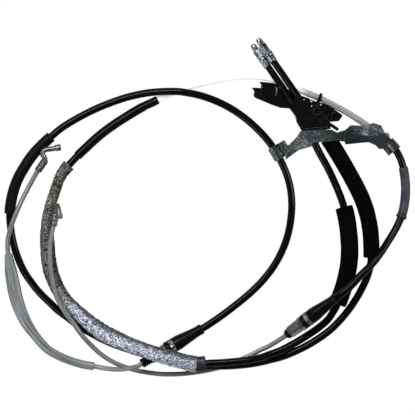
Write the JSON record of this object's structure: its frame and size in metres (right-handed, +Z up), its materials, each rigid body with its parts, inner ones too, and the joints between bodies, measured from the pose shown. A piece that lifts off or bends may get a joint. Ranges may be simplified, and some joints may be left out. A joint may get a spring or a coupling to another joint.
{
  "type": "parking brake cable",
  "caption": "Twin parking brake cable lying loosely coiled, with foam and foil sleeves, a folded bracket, a front housing and hooks.",
  "frame": {"origin": "middle of the underside of the coil as it lies", "axes": "+Z up, +Y towards the front rod ends, +X towards the right-hand side of the coil"},
  "size_m": [0.405, 0.338, 0.0305],
  "materials": {
    "black_plastic": "satin",
    "black_rubber": "matt",
    "foam": "matt, open-cell",
    "pale_nylon": "satin",
    "guard_plastic": "satin",
    "grey_plastic": "satin",
    "foil": "crinkled foil",
    "steel_wire": "stranded",
    "zinc": "zinc plated",
    "bracket_steel": "zinc plated, dull",
    "crimp_steel": "dull",
    "brass": "satin"
  },
  "bodies": {
    "root": {"wire_a": "steel_wire", "boot_a": "black_rubber", "retaining_clip_a": "zinc", "seal_ring_a": "black_rubber", "abutment_a": "zinc", "wire_seal_a": "black_rubber", "rod_end_a": "zinc", "rod_nut_a": "zinc", "ferrule_a": "zinc", "wire_b": "steel_wire", "boot_b": "black_rubber", "retaining_clip_b": "zinc", "seal_ring_b": "black_rubber", "abutment_b": "zinc", "wire_seal_b": "black_rubber", "rod_end_b": "zinc", "rod_nut_b": "zinc", "ferrule_b": "zinc", "conduit_a": "black_plastic", "conduit_b_front": "black_plastic", "conduit_b_rear": "black_plastic", "front_tube_a": "black_plastic", "front_tube_b": "black_plastic", "liner_b": "pale_nylon", "foam_tube_a": "foam", "foam_tube_b": "foam", "thick_sleeve_a": "black_rubber", "grey_tube_b": "grey_plastic", "ferrule_ring_b": "grey_plastic", "rubber_tube_b": "black_rubber", "foil_sleeve": "foil", "foil_collar": "grey_plastic", "wire_guard_a": "guard_plastic", "crimp_a": "crimp_steel", "hook_a": "zinc", "crimp_b": "crimp_steel", "hook_b": "zinc", "bracket": "bracket_steel", "front_housing": "black_plastic", "bush": "brass", "spring_clip": "zinc", "liner_strap": "black_plastic"}
  },
  "joints": []
}
